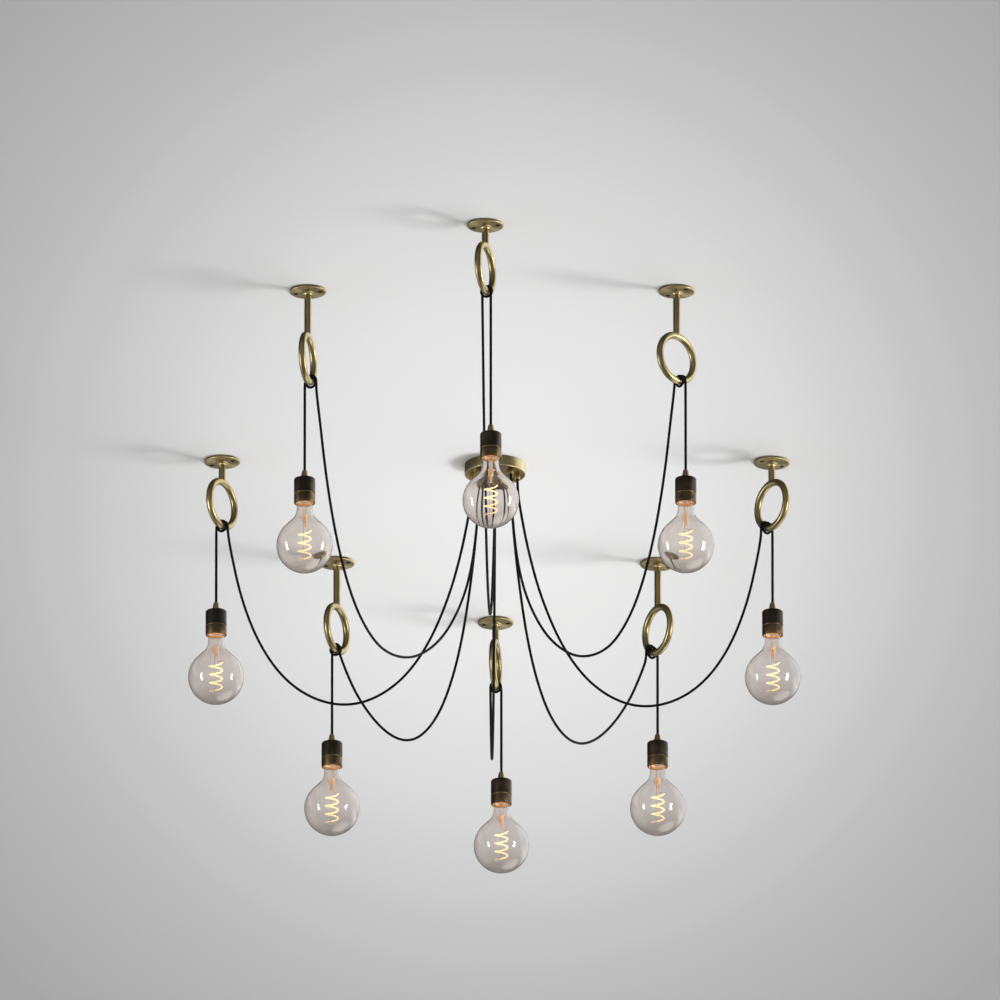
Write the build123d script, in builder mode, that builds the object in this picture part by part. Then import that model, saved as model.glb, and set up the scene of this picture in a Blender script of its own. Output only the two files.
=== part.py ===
"""Spider chandelier: a ceiling canopy, eight swagged cords, eight ring hooks and eight hanging globe lamps.

Millimetres, +Z up. The ceiling is the plane Z = 0 and the origin is the middle of the canopy on that plane.
-Y is the front, the side from which the lamps are seen.
"""

import math
import os
from collections import namedtuple

from build123d import *

os.makedirs("parts", exist_ok=True)

# Cord
cord_diameter = 4.5
cord_bore_clearance = 0.15

# Canopy cover
canopy_diameter = 104
canopy_height = 18
canopy_wall = 1.6
canopy_rim_width = 2.4
canopy_recess = 4
canopy_edge_radius = 1
grip_circle_radius = 38

# Canopy bracket and the screws that hold the cover to it
bracket_length = 92
bracket_width = 14
bracket_thickness = 2
bracket_angle = -22.5
ceiling_hole_inset = 5
ceiling_hole_diameter = 4.5
cover_screw_spacing = 52
cover_screw_diameter = 4
cover_screw_head_diameter = 8
cover_screw_head_height = 2.6
cover_screw_tip_gap = 0.5
tapped_collar_diameter = 7.5
tapped_collar_height = 3
screw_clearance = 0.1

# Cord grips and their nuts
grip_diameter = 10
grip_height = 12
grip_edge_radius = 1.5
grip_thread_diameter = 8
grip_thread_proud = 1
grip_nut_flats = 12
grip_nut_height = 3
thread_clearance = 0.05
nut_sides = 6

# Terminal block and leads
block_flats = 30
block_height = 10
block_edge_chamfer = 1
block_well_diameter = 4
block_well_depth = 5
block_well_circle_radius = 10
lead_diameter = 2.6
lead_bend_radius = 3
lead_rise = 3.5
cord_end_above_nut = 1.5

# Ring hooks
plate_diameter = 61
plate_thickness = 4
plate_edge_radius = 1.2
plate_hole_spacing = 42
plate_hole_diameter = 4.4
plate_sink_diameter = 8.4
boss_wall = 0.5
boss_height = 5
boss_flare_radius = 4.9
rod_diameter = 12
spigot_diameter = 8
spigot_length = 6
spigot_clearance = 0.05
ring_diameter = 80
ring_bar_diameter = 12
short_ring_depth = 78.5
long_ring_depth = 122

# Round turn of cord on each ring, and the point below it about which the lamp swings
wrap_gap = 0.6
wrap_pitch = 6
wrap_turns = 1.5
wrap_corners_per_turn = 6
bend_share = 0.45
self_gap_reach = 4
wrap_measure_margin = 1.2
pivot_below_bar = 12
pivot_gap = 0.3

# Lampholder
holder_diameter = 36
holder_wall = 2.7
holder_top_thickness = 3
holder_top_radius = 3
barrel_height = 27
groove_width = 1.6
groove_depth = 1.75
barrel_spigot_length = 6
collar_height = 16.4
collar_mouth_diameter = 29.2
collar_lip_height = 4
collar_edge_radius = 1.5
holder_fit_clearance = 0.1
insert_wall = 1.2
insert_floor = 2
insert_top_gap = 1

# Brass fittings of the lampholder
relief_base_diameter = 11.6
relief_base_height = 7
relief_tip_diameter = 8
relief_tip_radius = 0.8
relief_height = 14.8
nipple_diameter = 10
nipple_nut_flats = 15
nipple_nut_height = 3
cord_end_in_nipple = 1
screw_shell_wall = 0.5
screw_shell_length = 24
contact_diameter = 8
contact_thickness = 1.4
contact_gap = 0.3

# Globe bulb
globe_diameter = 95
globe_wall = 1
neck_diameter = 26.8
neck_end_diameter = 24.4
neck_length = 9.6
neck_in_cap = 6
neck_blend_radius = 28
shoulder_angle = 45
cap_diameter = 26.2
cap_wall = 0.4
cap_length = 22
cap_rim_gap = 7
insulator_base_diameter = 16
insulator_tip_diameter = 10
insulator_height = 2.4
button_diameter = 9
stem_diameter = 7
stem_flare_height = 10
stem_clearance = 0.2
stem_end_above_filament = 5
stem_rod_diameter = 4.4
press_diameter = 9
press_height = 11
press_above_filament = 16
press_edge_radius = 1.5

# Spiral filament and the two wires that carry it
filament_diameter = 1.8
filament_coil_diameter = 21.6
filament_pitch = 15
filament_turns = 3.5
filament_top_above_middle = 27
filament_arcs_per_turn = 4
wire_diameter = 1.2
wire_offset = 2.2
wire_gap = 0.1
wire_overhang = 0.8

# Hanging routes, chosen by hand: percent of the way from grip to ring, and mm below the ceiling
front_route = [
    (0, 43), (1.1, 80), (3.5, 122), (6.7, 167), (10.4, 210), (14.3, 254), (18.3, 297), (22.5, 338),
    (26.9, 375), (31.5, 407), (36.3, 433), (41.3, 453), (46.4, 465), (51.6, 470), (56.7, 468), (61.8, 459),
    (66.8, 443), (71.6, 420), (76.2, 391), (80.5, 357), (84.6, 319), (88.4, 279), (91.9, 236), (95, 192),
    (97.9, 155), (100, 129),
]
front_corner_route = [
    (0, 43), (0.7, 88), (2, 142), (4.2, 198), (7.4, 250), (11.4, 296), (16, 338), (21.3, 379), (27.3, 416),
    (33.8, 449), (40.5, 477), (47.5, 498), (54.8, 513), (62, 519), (69, 511), (75.3, 492), (80.6, 463),
    (85.2, 425), (89, 383), (92.3, 335), (95.1, 283), (97.3, 230), (99.1, 191), (100, 169),
]
side_route = [
    (0, 43), (1.3, 82), (3.2, 128), (5.6, 175), (8.6, 223), (12.4, 270), (17, 316), (22.6, 358), (29.4, 394),
    (37.5, 421), (46.2, 437), (55, 440), (63.8, 431), (71.8, 412), (78.6, 385), (84.3, 351), (88.9, 313),
    (92.6, 272), (95.6, 228), (97.8, 184), (99.3, 150), (100, 128),
]
back_corner_route = [
    (0, 43), (1.3, 86), (3.2, 136), (5.6, 186), (8.4, 233), (11.8, 280), (16, 323), (21.1, 360), (27.4, 391),
    (35, 410), (43.4, 416), (51.8, 408), (60, 389), (68, 362), (75.5, 330), (82.4, 295), (88.6, 259),
    (93.6, 223), (97.4, 193), (100, 170),
]
back_route = [
    (0, 43), (1.4, 80), (4, 117), (7.5, 154), (11.8, 194), (16.8, 234), (22.4, 271), (28.7, 304), (35.6, 331),
    (43, 349), (50.6, 358), (58.2, 357), (65.6, 345), (72.7, 322), (79.2, 292), (85.1, 256), (90.3, 217),
    (94.7, 178), (98.1, 148), (100, 127),
]

# One row for each arm: hook place, depth and turn of its ring, place and lay of the wrap on it, side of the
# swag strand, direction of the canopy grip, depth of the lampholder's top, and the swag's route
Arm = namedtuple(
    "Arm", "hook_x hook_y ring_depth ring_turn wrap_place wrap_lay swag_side grip_angle holder_depth route"
)
arms = [
    Arm(-16, -1180, short_ring_depth, 72, 6.5, 1, 1, 270, 374, front_route),
    Arm(-316, -859, long_ring_depth, 76, 19, 1, -1, 225, 332, front_corner_route),
    Arm(307, -860, long_ring_depth, 45, 7.5, -1, 1, 315, 337, front_corner_route),
    Arm(-466, -20, short_ring_depth, 58, 0, 1, -1, 180, 272, side_route),
    Arm(473, -15, short_ring_depth, -53, -15, -1, -1, 0, 266, side_route),
    Arm(-272, 488, long_ring_depth, 65, -4.5, -1, -1, 135, 328, back_corner_route),
    Arm(280, 493, long_ring_depth, -58, -20, -1, -1, 45, 321, back_corner_route),
    Arm(1, 791, short_ring_depth, 82, 3, -1, 1, 90, 288, back_route),
]

# Canopy levels and radii that follow from the sizes above
cord_radius = cord_diameter / 2
cord_bore_radius = cord_radius + cord_bore_clearance
canopy_radius = canopy_diameter / 2
cover_bottom = -canopy_height + canopy_recess
cover_inside = cover_bottom + canopy_wall
grip_bottom = cover_bottom - grip_height
nut_top = cover_inside + grip_nut_height
cord_top = nut_top + cord_end_above_nut
lead_level = cord_top + lead_rise
block_bottom = -bracket_thickness - block_height
ceiling_hole_radius = bracket_length / 2 - ceiling_hole_inset

# Hook levels and radii
boss_radius = rod_diameter / 2 + boss_wall
rod_top = -plate_thickness - boss_height
ring_radius = ring_diameter / 2
wrap_radius = ring_bar_diameter / 2 + cord_radius + wrap_gap
wrap_travel = wrap_turns * wrap_pitch

# Lampholder levels, below the top of its barrel, and radii
holder_radius = holder_diameter / 2
barrel_bottom = -barrel_height
barrel_bore = holder_radius - holder_wall
spigot_radius = holder_radius - groove_depth
collar_top = barrel_bottom - groove_width
collar_bottom = collar_top - collar_height
collar_bore = spigot_radius + holder_fit_clearance
lip_top = collar_bottom + collar_lip_height
nipple_bottom = -holder_top_thickness - nipple_nut_height
insert_top = nipple_bottom - insert_top_gap
insert_inside = insert_top - insert_floor
insert_radius = barrel_bore - holder_fit_clearance
insert_bore = insert_radius - insert_wall
shell_radius = insert_bore - thread_clearance
contact_bottom = insert_inside - contact_thickness

# Bulb levels, below the top of the barrel too, and radii
globe_radius = globe_diameter / 2
neck_radius = neck_diameter / 2
neck_end_radius = neck_end_diameter / 2
cap_radius = cap_diameter / 2
cap_rim = collar_bottom + cap_rim_gap
cap_top = cap_rim + cap_length
neck_end = cap_rim + neck_in_cap
insulator_top = cap_top + insulator_height
button_top = contact_bottom - contact_gap
shoulder = math.radians(shoulder_angle)
blend_start_radius = neck_radius + neck_blend_radius * (1 - math.sin(shoulder))
blend_top_above_middle = (
    globe_radius / math.sin(shoulder)
    - blend_start_radius / math.tan(shoulder)
    + neck_blend_radius * math.cos(shoulder)
)
globe_middle = collar_bottom - neck_length - blend_top_above_middle
filament_top = globe_middle + filament_top_above_middle
stem_bottom = filament_top + stem_end_above_filament
press_bottom = filament_top + press_above_filament
press_top = press_bottom + press_height


def around(radius, angle, level=0):
    """Point at a radius and an angle in degrees about the canopy, at a level."""
    return Vector(radius * math.cos(math.radians(angle)), radius * math.sin(math.radians(angle)), level)


def upright(spot):
    """Upright drawing plane through a spot: its x is X and its y is Z."""
    return Plane(origin=spot, x_dir=(1, 0, 0), z_dir=(0, -1, 0))


def turn(spot, *corners, rounded=()):
    """Turn a closed profile of (radius, level) corners about the upright line through a spot."""
    with BuildSketch(upright(spot)) as profile:
        with BuildLine():
            Polyline(*corners, close=True)
        make_face()
        for corner, radius in rounded:
            fillet(profile.vertices().sort_by_distance(corner)[0], radius)
    revolve(profile.sketch, axis=Axis(spot, (0, 0, 1)))


def draw_tube(path, diameter):
    """Sweep a round section along a path."""
    with BuildSketch(Plane(origin=path @ 0, z_dir=path % 0)) as section:
        Circle(diameter / 2)
    sweep(section.sketch, path=path)


def ring_directions(arm):
    """Plan directions along the plane of an arm's ring and square to it."""
    return around(1, arm.ring_turn), around(1, arm.ring_turn + 90)


def bar_point(arm, place):
    """Middle of the ring's bar, low on the ring, at a plan distance from the ring's middle."""
    along, _ = ring_directions(arm)
    depth = arm.ring_depth + math.sqrt(ring_radius**2 - place**2)
    return Vector(arm.hook_x, arm.hook_y, -depth) + along * place


def wrap_points(arm):
    """Corners of the round turn: up the swag's side, over the bar, round again and down the other side."""
    _, across = ring_directions(arm)
    corner_radius = wrap_radius / math.cos(math.pi / wrap_corners_per_turn)
    points = []
    for corner in range(round(wrap_turns * wrap_corners_per_turn)):
        turns = (corner + 0.5) / wrap_corners_per_turn
        place = arm.wrap_place + arm.wrap_lay * (wrap_travel / 2 - turns * wrap_pitch)
        steepness = ring_radius / math.sqrt(ring_radius**2 - place**2)
        sideways = arm.swag_side * corner_radius * math.cos(math.tau * turns)
        upward = corner_radius * steepness * math.sin(math.tau * turns)
        points.append(bar_point(arm, place) + across * sideways + Vector(0, 0, upward))
    return points


def pivot_point(arm):
    """Point about which the hanging lamp swings, just below the round turn."""
    _, across = ring_directions(arm)
    bar = bar_point(arm, arm.wrap_place - arm.wrap_lay * wrap_travel / 2)
    return bar - across * (arm.swag_side * wrap_radius) - Vector(0, 0, pivot_below_bar)


def swag_points(arm):
    """Route of a swag: out of the canopy, along its hanging line, round the ring and down to the pivot."""
    grip = around(grip_circle_radius, arm.grip_angle)
    wrap = wrap_points(arm)
    reach = Vector(wrap[0].X, wrap[0].Y) - grip
    hanging = [grip + reach * (percent / 100) - Vector(0, 0, depth) for percent, depth in arm.route]
    tail = pivot_point(arm) + Vector(0, 0, cord_radius + pivot_gap)
    return [grip + Vector(0, 0, cord_top)] + hanging + wrap + [tail]


def bend_radii(points):
    """Radius at each corner of a route, as large as its two runs allow."""
    radii = []
    for before, corner, after in zip(points, points[1:], points[2:]):
        shorter = min((corner - before).length, (after - corner).length)
        half_turn = math.radians((corner - before).get_angle(after - corner)) / 2
        radii.append(bend_share * shorter / math.tan(half_turn))
    return radii


def least_self_gap(path, diameter, start=0.0):
    """Least gap between two strands of a tube, measured on points along its path from start on."""
    length = path.length * (1 - start)
    count = math.ceil(length)
    points = [path @ (start + (1 - start) * step / count) for step in range(count + 1)]
    apart = math.ceil(self_gap_reach * diameter * count / length)
    gaps = [
        (points[one] - points[other]).length - diameter
        for one in range(count + 1)
        for other in range(one + apart, count + 1)
    ]
    return min(gaps)


def biarc(start, start_way, end, end_way):
    """Two arcs that leave start along start_way and reach end along end_way."""
    chord = end - start
    a = 2 * (start_way.dot(end_way) - 1)
    b = -2 * chord.dot(start_way + end_way)
    c = chord.dot(chord)
    reach = (-b - math.sqrt(b * b - 4 * a * c)) / (2 * a)
    first_corner = start + start_way * reach
    second_corner = end - end_way * reach
    middle = (first_corner + second_corner) * 0.5
    TangentArc(start, middle, tangent=start_way)
    TangentArc(middle, end, tangent=second_corner - first_corner)


def draw_globe(inset):
    """Half outline of the globe and its neck about the globe's middle, moved inwards by inset."""
    tangent_angle = 90 - shoulder_angle
    open_end = neck_end - globe_middle
    blend_middle = (neck_radius + neck_blend_radius, blend_top_above_middle)
    globe = CenterArc((0, 0), globe_radius - inset, -90, 90 + tangent_angle)
    blend = CenterArc(blend_middle, neck_blend_radius + inset, 180 + tangent_angle, -tangent_angle)
    Line(globe @ 1, blend @ 0)
    Polyline(blend @ 1, (neck_end_radius - inset, open_end), (0, open_end), globe @ 0)


def finish(part, name):
    """Label a finished piece, or a group of pieces, and write it."""
    part.label = name
    export_step(part, f"parts/{name}.step")


# Canopy cover: a turned cup with its bottom plate set back inside the rim
with BuildPart() as canopy_cover:
    rim_inside = canopy_radius - canopy_rim_width
    wall_inside = canopy_radius - canopy_wall
    turn(
        Vector(0, 0, 0), (0, cover_bottom), (rim_inside, cover_bottom), (rim_inside, -canopy_height),
        (canopy_radius, -canopy_height), (canopy_radius, 0), (wall_inside, 0), (wall_inside, cover_inside),
        (0, cover_inside), rounded=[((canopy_radius, -canopy_height), canopy_edge_radius)],
    )
    with PolarLocations(grip_circle_radius, len(arms)):
        Hole(grip_thread_diameter / 2 + thread_clearance)
    with PolarLocations(cover_screw_spacing / 2, 2, start_angle=bracket_angle):
        Hole(cover_screw_diameter / 2 + screw_clearance)
finish(canopy_cover.part, "canopy_cover")

# Canopy bracket: a strap on the ceiling with two tapped collars for the cover screws
with BuildPart() as canopy_bracket:
    with BuildSketch(Plane.XY.rotated((0, 0, bracket_angle))):
        SlotOverall(bracket_length, bracket_width)
    extrude(amount=-bracket_thickness)
    with BuildSketch(Plane.XY.offset(-bracket_thickness)):
        with PolarLocations(cover_screw_spacing / 2, 2, start_angle=bracket_angle):
            Circle(tapped_collar_diameter / 2)
    extrude(amount=-tapped_collar_height)
    with PolarLocations(cover_screw_spacing / 2, 2, start_angle=bracket_angle):
        Hole(cover_screw_diameter / 2 + thread_clearance)
    with PolarLocations(ceiling_hole_radius, 2, start_angle=bracket_angle):
        Hole(ceiling_hole_diameter / 2)
finish(canopy_bracket.part, "canopy_bracket")

# Cover screws: domed heads under the cover, shanks up into the bracket
with BuildPart() as canopy_screws:
    head_radius = cover_screw_head_diameter / 2
    shank_radius = cover_screw_diameter / 2
    shank_top = -cover_bottom - cover_screw_tip_gap
    for angle in (bracket_angle, bracket_angle + 180):
        spot = around(cover_screw_spacing / 2, angle, cover_bottom)
        with BuildSketch(upright(spot)):
            with BuildLine():
                Polyline(
                    (0, -cover_screw_head_height), (0, shank_top), (shank_radius, shank_top),
                    (shank_radius, 0), (head_radius, 0),
                )
                EllipticalCenterArc((0, 0), head_radius, cover_screw_head_height, -90, arc_size=90)
            make_face()
        revolve(axis=Axis(spot, (0, 0, 1)))
finish(canopy_screws.part, "canopy_screws")

# Cord grips: rounded bushes under the cover, with a threaded stub through it and a bore for the cord
with BuildPart() as cord_grips:
    with BuildSketch(Plane.XY.offset(grip_bottom)):
        with PolarLocations(grip_circle_radius, len(arms)):
            Circle(grip_diameter / 2)
    extrude(amount=grip_height)
    fillet(cord_grips.edges().group_by(Axis.Z)[0], grip_edge_radius)
    with BuildSketch(Plane.XY.offset(cover_bottom)):
        with PolarLocations(grip_circle_radius, len(arms)):
            Circle(grip_thread_diameter / 2)
    extrude(amount=nut_top + grip_thread_proud - cover_bottom)
    with PolarLocations(grip_circle_radius, len(arms)):
        Hole(cord_bore_radius)
finish(cord_grips.part, "cord_grips")

# Grip nuts: hexagon nuts inside the cover
with BuildPart() as grip_nuts:
    with BuildSketch(Plane.XY.offset(cover_inside)):
        with PolarLocations(grip_circle_radius, len(arms)):
            RegularPolygon(grip_nut_flats / 2, nut_sides, major_radius=False)
            Circle(grip_thread_diameter / 2 + thread_clearance, mode=Mode.SUBTRACT)
    extrude(amount=grip_nut_height)
finish(grip_nuts.part, "grip_nuts")

# Terminal block: eight-sided, one clamping well for each arm, on the underside of the bracket
with BuildPart() as terminal_block:
    with BuildSketch(Plane.XY.offset(block_bottom)):
        RegularPolygon(block_flats / 2, len(arms), major_radius=False, rotation=180 / len(arms))
    extrude(amount=block_height)
    chamfer(terminal_block.faces().sort_by(Axis.Z)[0].edges(), block_edge_chamfer)
    with BuildSketch(Plane.XY.offset(block_bottom)):
        with PolarLocations(block_well_circle_radius, len(arms)):
            Circle(block_well_diameter / 2)
    extrude(amount=block_well_depth, mode=Mode.SUBTRACT)
finish(terminal_block.part, "terminal_block")

# Leads: from the top of each cord over to its side of the terminal block
with BuildPart() as canopy_leads:
    for arm in arms:
        with BuildLine(mode=Mode.PRIVATE) as lead_path:
            FilletPolyline(
                around(grip_circle_radius, arm.grip_angle, cord_top),
                around(grip_circle_radius, arm.grip_angle, lead_level),
                around(block_flats / 2, arm.grip_angle, lead_level),
                radius=lead_bend_radius,
            )
        draw_tube(lead_path.wire(), lead_diameter)
finish(canopy_leads.part, "canopy_leads")

# Hook plates: turned discs with a flared boss for the rod and two countersunk screw holes
with BuildPart() as hook_plates:
    for arm in arms:
        middle = Vector(arm.hook_x, arm.hook_y, 0)
        plate_radius = plate_diameter / 2
        turn(
            middle, (0, 0), (plate_radius, 0), (plate_radius, -plate_thickness),
            (boss_radius, -plate_thickness), (boss_radius, rod_top), (0, rod_top),
            rounded=[
                ((plate_radius, -plate_thickness), plate_edge_radius),
                ((boss_radius, -plate_thickness), boss_flare_radius),
            ],
        )
        with Locations(Location(middle + Vector(0, 0, rod_top), (180, 0, 0))):
            Hole(spigot_diameter / 2 + spigot_clearance, spigot_length)
        _, across = ring_directions(arm)
        for side in (-1, 1):
            spot = middle + across * (side * plate_hole_spacing / 2) - Vector(0, 0, plate_thickness)
            with Locations(Location(spot, (180, 0, 0))):
                CounterSinkHole(plate_hole_diameter / 2, plate_sink_diameter / 2, plate_thickness)
finish(hook_plates.part, "hook_plates")

# Hook rings: round bar bent to a closed ring, standing upright under each rod
with BuildPart() as hook_rings:
    for arm in arms:
        _, across = ring_directions(arm)
        ring_plane = Plane(origin=(arm.hook_x, arm.hook_y, -arm.ring_depth), z_dir=across)
        with Locations(ring_plane.location):
            Torus(ring_radius, ring_bar_diameter / 2)
finish(hook_rings.part, "hook_rings")

# Hook rods: round bar with a spigot up into the boss and a lower end shaped to sit on the ring
with BuildPart() as hook_rods:
    for arm in arms:
        ring_bar = -arm.ring_depth + ring_radius
        with BuildSketch(Plane(origin=(arm.hook_x, arm.hook_y, ring_bar))):
            Circle(rod_diameter / 2)
        extrude(amount=rod_top - ring_bar)
        with BuildSketch(Plane(origin=(arm.hook_x, arm.hook_y, rod_top))):
            Circle(spigot_diameter / 2)
        extrude(amount=spigot_length)
    add(hook_rings.part, mode=Mode.SUBTRACT)
finish(hook_rods.part, "hook_rods")

for number, arm in enumerate(arms, start=1):
    pivot = pivot_point(arm)
    top = Vector(pivot.X, pivot.Y, -arm.holder_depth)
    middle = top + Vector(0, 0, globe_middle)

    # Swag: one unbroken cord from the canopy to the ring, round it one and a half times and off downwards
    route = swag_points(arm)
    radii = bend_radii(route)
    with BuildPart() as cord_swag:
        with BuildLine(mode=Mode.PRIVATE) as swag_path:
            FilletPolyline(*route, radius=radii)
        draw_tube(swag_path.wire(), cord_diameter)
    finish(cord_swag.part, f"cord_swag_{number}")
    length = swag_path.wire().length
    hanging_bends = len(arm.route)
    wrap_start = 1 - wrap_measure_margin * wrap_turns * math.tau * wrap_radius / length
    fullness = cord_swag.part.volume / (math.pi * cord_radius**2 * length)
    print(
        f"cord_swag_{number}: length {length:.0f}, least radius hanging {min(radii[:hanging_bends]):.1f} and "
        f"on the ring {min(radii[hanging_bends:]):.1f}, volume over section times length {fullness:.4f}, "
        f"least gap to itself {least_self_gap(swag_path.wire(), cord_diameter, wrap_start):.2f}"
    )

    # Drop: the straight cord that carries the lamp, rounded at the point about which it swings
    with BuildPart() as cord_drop:
        with BuildSketch(upright(pivot)):
            with BuildLine():
                drop_end = top.Z + nipple_bottom + cord_end_in_nipple - pivot.Z
                Polyline((0, cord_radius), (0, drop_end), (cord_radius, drop_end), (cord_radius, 0))
                CenterArc((0, 0), cord_radius, 0, 90)
            make_face()
        revolve(axis=Axis(pivot, (0, 0, 1)))
    finish(cord_drop.part, f"cord_drop_{number}")
    print(f"cord_drop_{number}: length {-drop_end:.0f}")

    # Lampholder: barrel, collar screwed on under it, and the ceramic insert held between them
    with BuildPart() as barrel:
        nipple_hole = nipple_diameter / 2 + thread_clearance
        barrel_end = collar_top - barrel_spigot_length
        turn(
            top, (nipple_hole, 0), (holder_radius, 0), (holder_radius, barrel_bottom),
            (spigot_radius, barrel_bottom), (spigot_radius, barrel_end), (barrel_bore, barrel_end),
            (barrel_bore, -holder_top_thickness), (nipple_hole, -holder_top_thickness),
            rounded=[((holder_radius, 0), holder_top_radius)],
        )
    with BuildPart() as collar:
        mouth = collar_mouth_diameter / 2
        turn(
            top, (collar_bore, collar_top), (holder_radius, collar_top), (holder_radius, collar_bottom),
            (mouth, collar_bottom), (mouth, lip_top), (collar_bore, lip_top),
            rounded=[((holder_radius, collar_bottom), collar_edge_radius)],
        )
    with BuildPart() as insert:
        turn(
            top, (0, insert_top), (insert_radius, insert_top), (insert_radius, lip_top),
            (insert_bore, lip_top), (insert_bore, insert_inside), (0, insert_inside),
        )
    finish(Compound(children=[barrel.part, collar.part, insert.part]), f"lampholder_{number}")

    # Brass fittings: cord relief with its nipple, nipple nut, screw shell and centre contact
    with BuildPart() as relief:
        nipple_radius = nipple_diameter / 2
        base_radius = relief_base_diameter / 2
        tip_radius = relief_tip_diameter / 2
        turn(
            top, (cord_bore_radius, nipple_bottom), (nipple_radius, nipple_bottom), (nipple_radius, 0),
            (base_radius, 0), (base_radius, relief_base_height), (tip_radius, relief_height),
            (cord_bore_radius, relief_height), rounded=[((tip_radius, relief_height), relief_tip_radius)],
        )
    with BuildPart() as nipple_nut:
        with BuildSketch(Plane(origin=top + Vector(0, 0, nipple_bottom))):
            RegularPolygon(nipple_nut_flats / 2, nut_sides, major_radius=False)
            Circle(nipple_radius + thread_clearance, mode=Mode.SUBTRACT)
        extrude(amount=nipple_nut_height)
    with BuildPart() as screw_shell:
        shell_inside = shell_radius - screw_shell_wall
        shell_bottom = insert_inside - screw_shell_length
        turn(
            top, (shell_inside, insert_inside), (shell_radius, insert_inside), (shell_radius, shell_bottom),
            (shell_inside, shell_bottom),
        )
    with BuildPart() as contact:
        contact_radius = contact_diameter / 2
        turn(
            top, (0, insert_inside), (contact_radius, insert_inside), (contact_radius, contact_bottom),
            (0, contact_bottom),
        )
    brass_pieces = [relief.part, nipple_nut.part, screw_shell.part, contact.part]
    finish(Compound(children=brass_pieces), f"holder_brass_{number}")

    # Bulb glass: the blown globe and, inside its neck, the stem with its press and the rod below it
    with BuildPart() as globe:
        with BuildSketch(upright(middle)):
            with BuildLine():
                draw_globe(0)
            make_face()
            with BuildLine():
                draw_globe(globe_wall)
            make_face(mode=Mode.SUBTRACT)
        revolve(axis=Axis(middle, (0, 0, 1)))
    with BuildPart() as stem:
        stem_radius = stem_diameter / 2
        stem_rod_radius = stem_rod_diameter / 2
        press_radius = press_diameter / 2
        flare_radius = neck_end_radius - globe_wall - stem_clearance
        turn(
            top, (0, stem_bottom), (0, neck_end), (flare_radius, neck_end),
            (stem_radius, neck_end - stem_flare_height), (stem_radius, press_top), (press_radius, press_top),
            (press_radius, press_bottom), (stem_rod_radius, press_bottom), (stem_rod_radius, stem_bottom),
            rounded=[((press_radius, press_bottom), press_edge_radius)],
        )
    finish(Compound(children=[globe.part, stem.part]), f"bulb_glass_{number}")

    # Bulb base: screw cap, insulator and button
    with BuildPart() as cap:
        cap_inside = cap_radius - cap_wall
        turn(
            top, (cap_inside, cap_rim), (cap_radius, cap_rim), (cap_radius, cap_top), (0, cap_top),
            (0, cap_top - cap_wall), (cap_inside, cap_top - cap_wall),
        )
    with BuildPart() as insulator:
        turn(
            top, (0, cap_top), (insulator_base_diameter / 2, cap_top),
            (insulator_tip_diameter / 2, insulator_top), (0, insulator_top),
        )
    with BuildPart() as button:
        button_radius = button_diameter / 2
        turn(
            top, (0, insulator_top), (button_radius, insulator_top), (button_radius, button_top),
            (0, button_top),
        )

    # Spiral filament: an open coil about the globe's middle line, with a short straight run at each end
    coil_radius = filament_coil_diameter / 2
    coil_top = middle + Vector(0, 0, filament_top_above_middle)
    climb = Vector(0, 0, -filament_pitch / (math.tau * coil_radius))

    def coil_point(turns):
        """Place on the coil, and its direction, after some turns down from the top."""
        place = coil_top + around(coil_radius, 360 * turns, -filament_pitch * turns)
        return place, (around(1, 360 * turns + 90) + climb).normalized()

    with BuildPart() as filament:
        with BuildLine(mode=Mode.PRIVATE) as filament_path:
            stations = [
                coil_point(step / filament_arcs_per_turn)
                for step in range(round(filament_turns * filament_arcs_per_turn) + 1)
            ]
            first_place, first_way = stations[0]
            last_place, last_way = stations[-1]
            Line(first_place - first_way * filament_diameter, first_place)
            for (start, start_way), (end, end_way) in zip(stations, stations[1:]):
                biarc(start, start_way, end, end_way)
            Line(last_place, last_place + last_way * filament_diameter)
        draw_tube(filament_path.wire(), filament_diameter)
    if number == 1:
        print(f"filament: least gap to itself {least_self_gap(filament_path.wire(), filament_diameter):.2f}")

    # Wires: from the stem's press down to the two ends of the filament
    with BuildPart() as wires:
        for end, way, side in ((first_place, -first_way, 1), (last_place, last_way, -1)):
            past_end = filament_diameter + wire_gap + wire_diameter / 2
            back = end.Y + (way * past_end).Y
            level = end.Z + (way * past_end).Z
            outside = middle.X + side * (coil_radius + wire_overhang)
            inside = middle.X + side * wire_offset
            with BuildLine(mode=Mode.PRIVATE) as wire_path:
                FilletPolyline(
                    (inside, back, top.Z + press_bottom), (inside, back, level), (outside, back, level),
                    radius=wire_diameter,
                )
            draw_tube(wire_path.wire(), wire_diameter)
    base_pieces = [cap.part, insulator.part, button.part, filament.part, wires.part]
    finish(Compound(children=base_pieces), f"bulb_base_{number}")
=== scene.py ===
# %% [markdown]
# # A spider chandelier
# A round brass canopy sits in the middle of the ceiling. Black braided cords leave it, hang in swags, go
# round a brass ring and drop to a lamp. The solids and the way they move are already made. This lesson
# loads them as a fixed frame, gives the plain ones a finish, and models the pieces that are seen up close
# afresh: the cords, the turned brass, the lampholders, the glass and the glowing filaments.

# %% Load the frame
import math
from collections import namedtuple

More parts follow.
